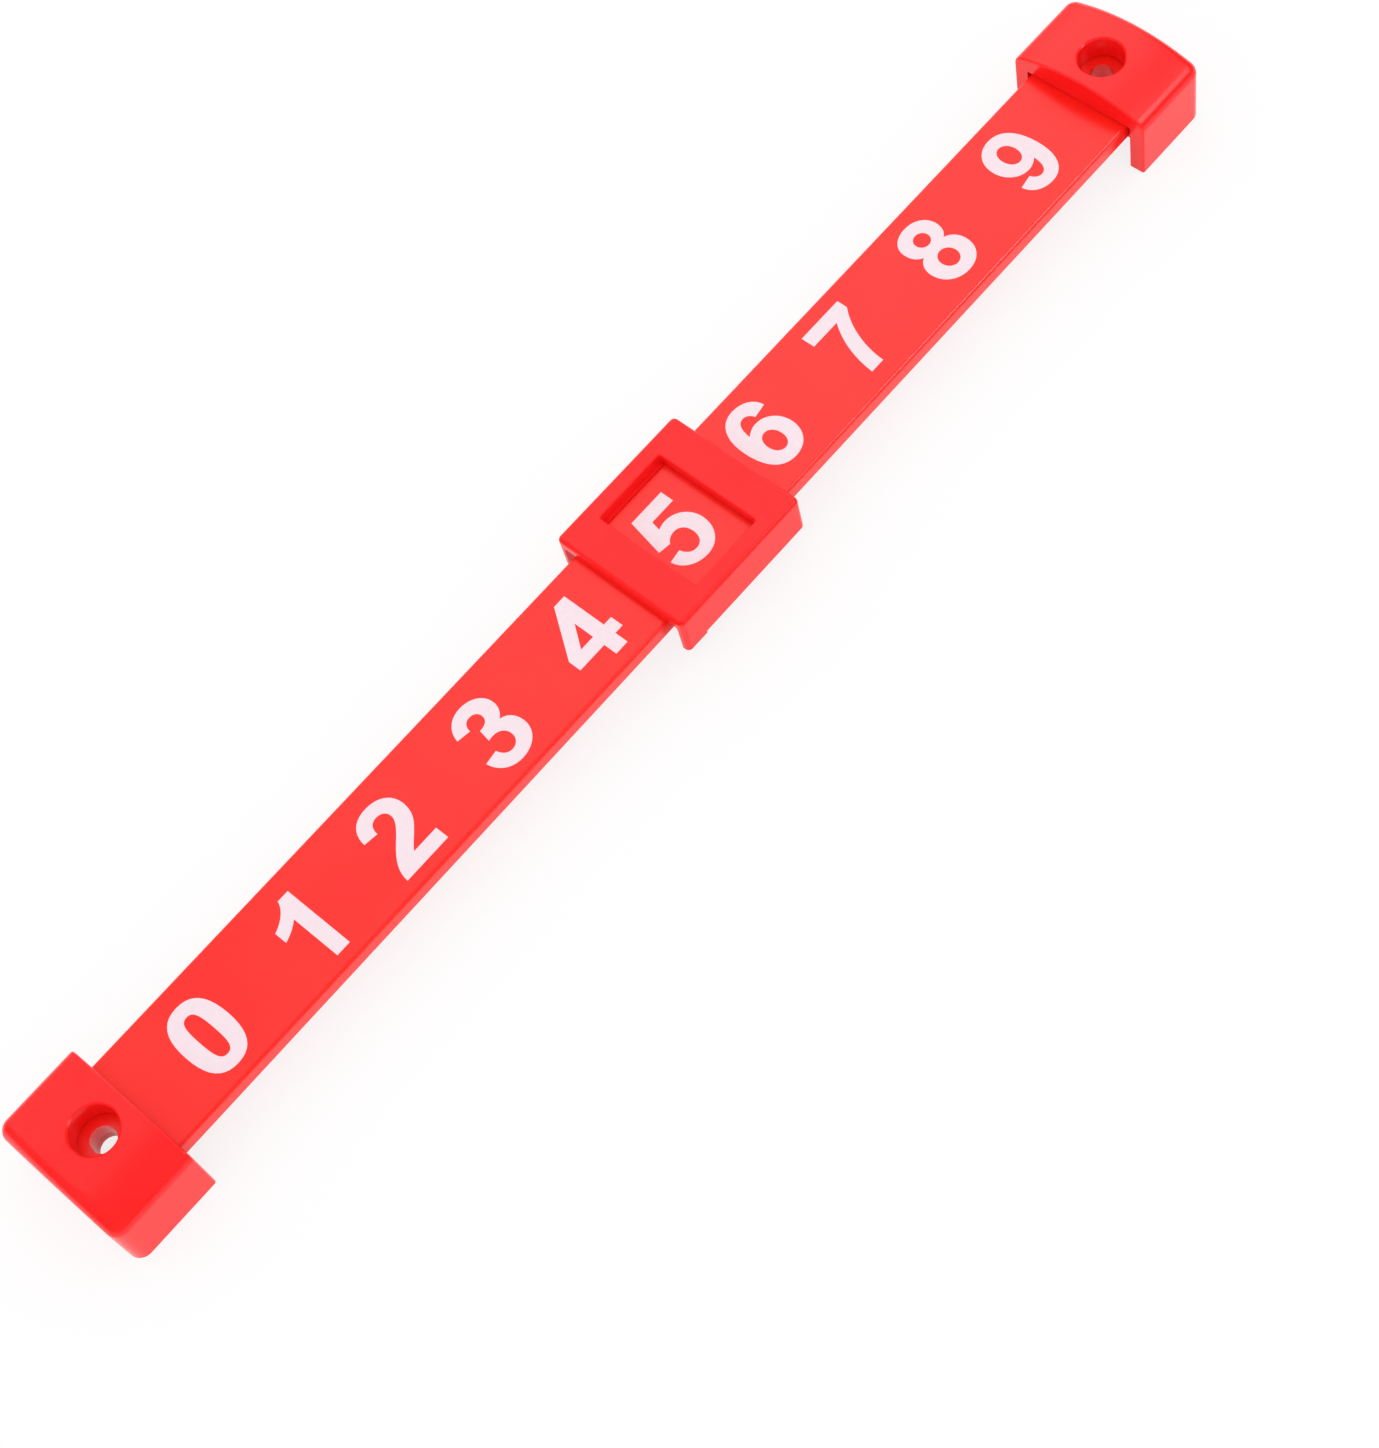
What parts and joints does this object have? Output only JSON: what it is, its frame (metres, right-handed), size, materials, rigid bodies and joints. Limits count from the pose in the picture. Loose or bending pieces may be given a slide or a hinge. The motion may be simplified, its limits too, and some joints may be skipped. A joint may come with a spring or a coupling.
{
  "type": "sliding score counter",
  "caption": "Flat numbered scale bar held between hollow screw-down end caps, with a window clip that slides along it to show the score.",
  "frame": {"origin": "under the middle of the strip, on the surface that the two end caps stand on", "axes": "+X runs along the strip from the 0 end to the 9 end, +Y is up for the numbers, +Z points away from the surface"},
  "size_m": [0.2568, 0.027, 0.0143],
  "materials": {
    "strip_plastic": "glossy red injection-moulded plastic",
    "cap_plastic": "glossy red injection-moulded plastic",
    "slider_plastic": "glossy red injection-moulded plastic",
    "number_print": "thin white printing ink over red"
  },
  "bodies": {
    "counter": {"scale_strip": "strip_plastic", "end_cap_zero": "cap_plastic", "end_cap_nine": "cap_plastic"},
    "slider": {"slider": "slider_plastic"}
  },
  "joints": [
    {"name": "slider_travel", "type": "slide", "parent": "counter", "child": "slider", "axis": [1, 0, 0], "range_m": [-0.10825, 0.08785]}
  ]
}
